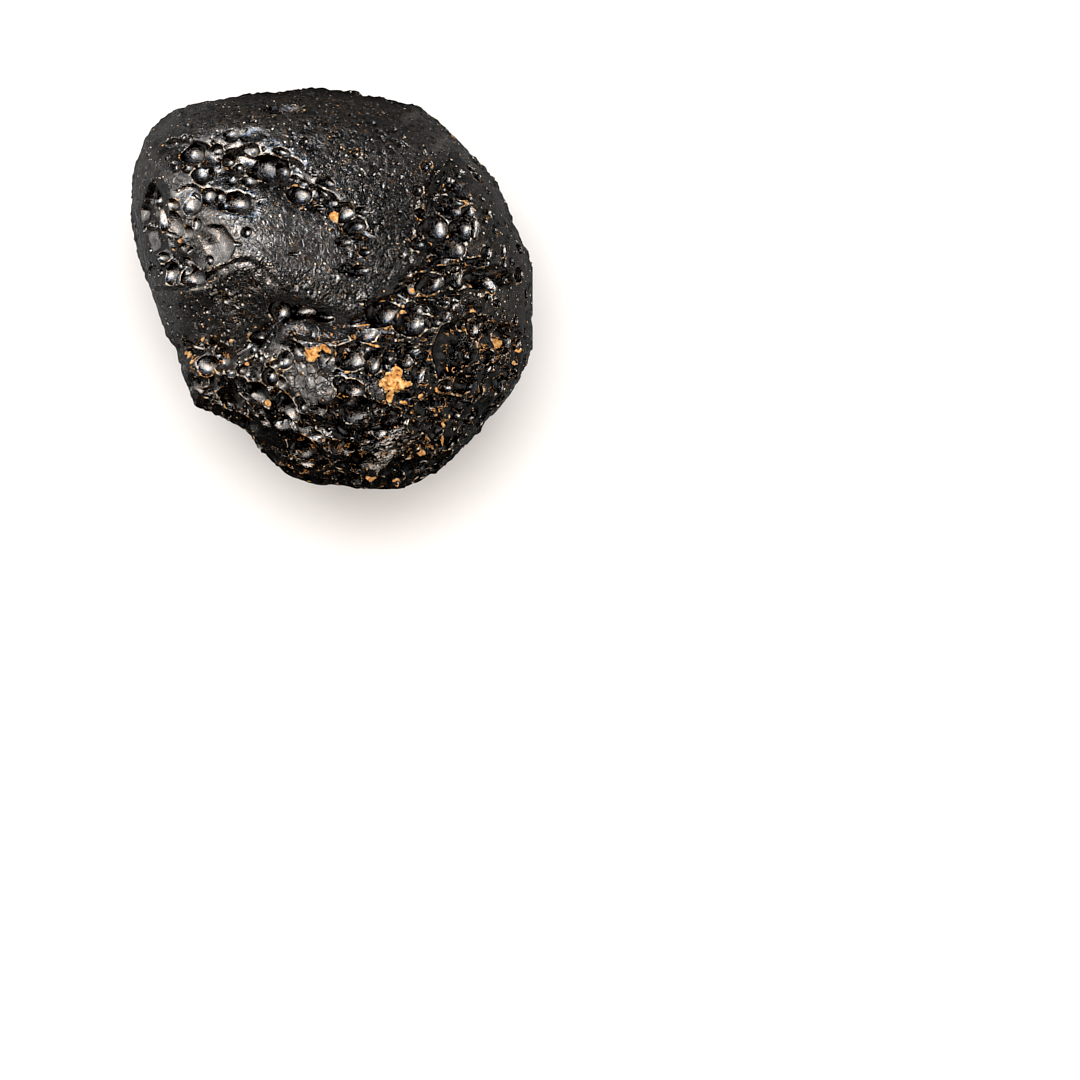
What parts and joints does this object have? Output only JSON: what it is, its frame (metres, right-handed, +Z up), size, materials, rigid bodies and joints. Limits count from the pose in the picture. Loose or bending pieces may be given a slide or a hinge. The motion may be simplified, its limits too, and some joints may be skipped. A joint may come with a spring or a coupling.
{
  "type": "tektite",
  "caption": "Rounded lump of black natural glass with bubble pits, a splash-form tektite, lying on a small flat spot.",
  "frame": {"origin": "on the surface the stone rests on, under the middle of its plan box", "axes": "+Z up from the flat spot to the crown; +X is the picture's right and +Y its top, because it was seen from straight above"},
  "size_m": [0.038, 0.0376, 0.0278],
  "materials": {
    "tektite_glass": "glossy black natural glass with a finely pitted satin skin, a few crumbs of ochre clay in the pits"
  },
  "bodies": {
    "root": {"tektite": "tektite_glass"}
  },
  "joints": []
}
